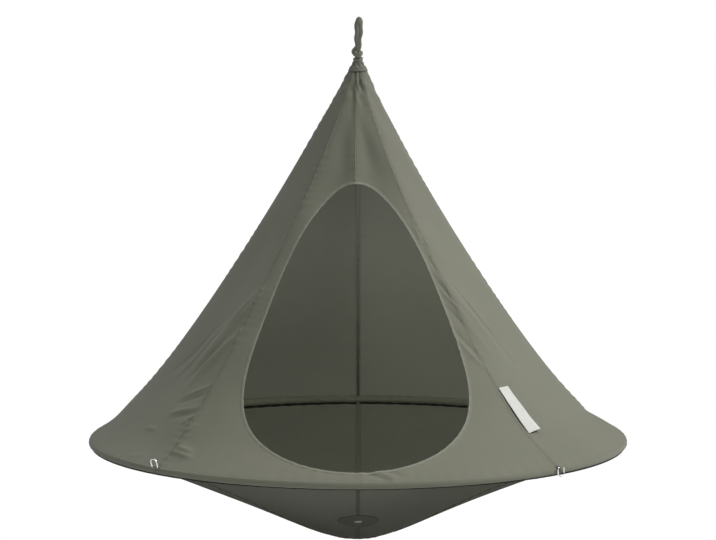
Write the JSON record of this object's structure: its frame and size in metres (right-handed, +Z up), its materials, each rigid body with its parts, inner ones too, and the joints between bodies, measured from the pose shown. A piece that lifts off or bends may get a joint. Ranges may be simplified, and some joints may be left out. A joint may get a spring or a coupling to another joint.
{
  "type": "hanging tent",
  "caption": "Hanging cone tent of olive canvas on a round rim hoop, with an egg-shaped doorway, a shallow bowl floor and a rope loop to hang it by.",
  "frame": {"origin": "inside top of the rope loop, where the hook bears, on the tent's own vertical axis", "axes": "+Z up along the tent's axis, -Y out through the doorway, +X to the right of someone who faces the doorway"},
  "size_m": [1.4998, 1.4998, 1.4613],
  "materials": {
    "canopy_canvas": "matt woven cotton canvas, olive grey",
    "hem_canvas": "matt woven canvas, olive grey",
    "bowl_canvas": "matt woven canvas, dark olive",
    "patch_canvas": "matt woven canvas, darker olive",
    "binding_tape": "folded woven tape, light olive",
    "seam_tape": "woven tape, dark olive",
    "label_weave": "plain woven label, off-white, blank",
    "collar_canvas": "gathered canvas, olive",
    "rope_olive": "laid rope, olive grey",
    "pole_aluminium": "plain drawn tube",
    "ferrule_aluminium": "plain drawn tube",
    "elastic_cord": "braided elastic cord, black",
    "ring_steel": "bright stainless wire"
  },
  "bodies": {
    "suspension": {"suspension_loop": "rope_olive"},
    "knot": {"rope_knot": "rope_olive"},
    "collar": {"neck_collar": "collar_canvas"},
    "tent": {"canopy_front_right": "canopy_canvas", "canopy_right_front": "canopy_canvas", "canopy_right_rear": "canopy_canvas", "canopy_rear_right": "canopy_canvas", "canopy_rear_left": "canopy_canvas", "canopy_left_rear": "canopy_canvas", "canopy_left_front": "canopy_canvas", "canopy_front_left": "canopy_canvas", "bowl_front_right": "bowl_canvas", "bowl_right_front": "bowl_canvas", "bowl_right_rear": "bowl_canvas", "bowl_rear_right": "bowl_canvas", "bowl_rear_left": "bowl_canvas", "bowl_left_rear": "bowl_canvas", "bowl_left_front": "bowl_canvas", "bowl_front_left": "bowl_canvas", "hem_front": "hem_canvas", "hem_right": "hem_canvas", "hem_rear": "hem_canvas", "hem_left": "hem_canvas", "pole_right_front": "pole_aluminium", "pole_right_rear": "pole_aluminium", "pole_left_rear": "pole_aluminium", "pole_left_front": "pole_aluminium", "ferrule_front": "ferrule_aluminium", "ferrule_right": "ferrule_aluminium", "ferrule_rear": "ferrule_aluminium", "ferrule_left": "ferrule_aluminium", "shock_cord": "elastic_cord", "door_binding": "binding_tape", "seam_tape_front": "seam_tape", "seam_tape_front_right": "seam_tape", "seam_tape_right": "seam_tape", "seam_tape_rear_right": "seam_tape", "seam_tape_rear": "seam_tape", "seam_tape_rear_left": "seam_tape", "seam_tape_left": "seam_tape", "seam_tape_front_left": "seam_tape", "label_strip": "label_weave", "base_patch": "bowl_canvas", "drain_patch": "patch_canvas", "drain_eyelet": "ring_steel", "guy_tab_front_left": "seam_tape", "guy_tab_front_right": "seam_tape", "guy_tab_rear_right": "seam_tape", "guy_tab_rear_left": "seam_tape"},
    "rim_ring_front_left": {"guy_ring_front_left": "ring_steel"},
    "rim_ring_front_right": {"guy_ring_front_right": "ring_steel"},
    "rim_ring_rear_right": {"guy_ring_rear_right": "ring_steel"},
    "rim_ring_rear_left": {"guy_ring_rear_left": "ring_steel"}
  },
  "joints": [
    {"name": "tent_swing_side", "type": "hinge", "parent": "suspension", "child": "knot", "pos_m": [0, 0, -0.109], "axis": [0, 1, 0], "range_deg": [-25, 25]},
    {"name": "tent_swing_fore", "type": "hinge", "parent": "knot", "child": "collar", "pos_m": [0, 0, -0.109], "axis": [1, 0, 0], "range_deg": [-25, 25]},
    {"name": "tent_turn", "type": "hinge", "parent": "collar", "child": "tent", "pos_m": [0, 0, -0.109], "axis": [0, 0, 1], "range_deg": [-180, 180]},
    {"name": "rim_ring_swing_front_left", "type": "hinge", "parent": "tent", "child": "rim_ring_front_left", "pos_m": [-0.53535, -0.53535, -1.1574], "axis": [-0.7071, 0.7071, 0], "range_deg": [-177, 65]},
    {"name": "rim_ring_swing_front_right", "type": "hinge", "parent": "tent", "child": "rim_ring_front_right", "pos_m": [0.53535, -0.53535, -1.1574], "axis": [-0.7071, -0.7071, 0], "range_deg": [-12, 230]},
    {"name": "rim_ring_swing_rear_right", "type": "hinge", "parent": "tent", "child": "rim_ring_rear_right", "pos_m": [0.53535, 0.53535, -1.1574], "axis": [0.7071, -0.7071, 0], "range_deg": [-12, 230]},
    {"name": "rim_ring_swing_rear_left", "type": "hinge", "parent": "tent", "child": "rim_ring_rear_left", "pos_m": [-0.53535, 0.53535, -1.1574], "axis": [0.7071, 0.7071, 0], "range_deg": [-12, 230]}
  ]
}
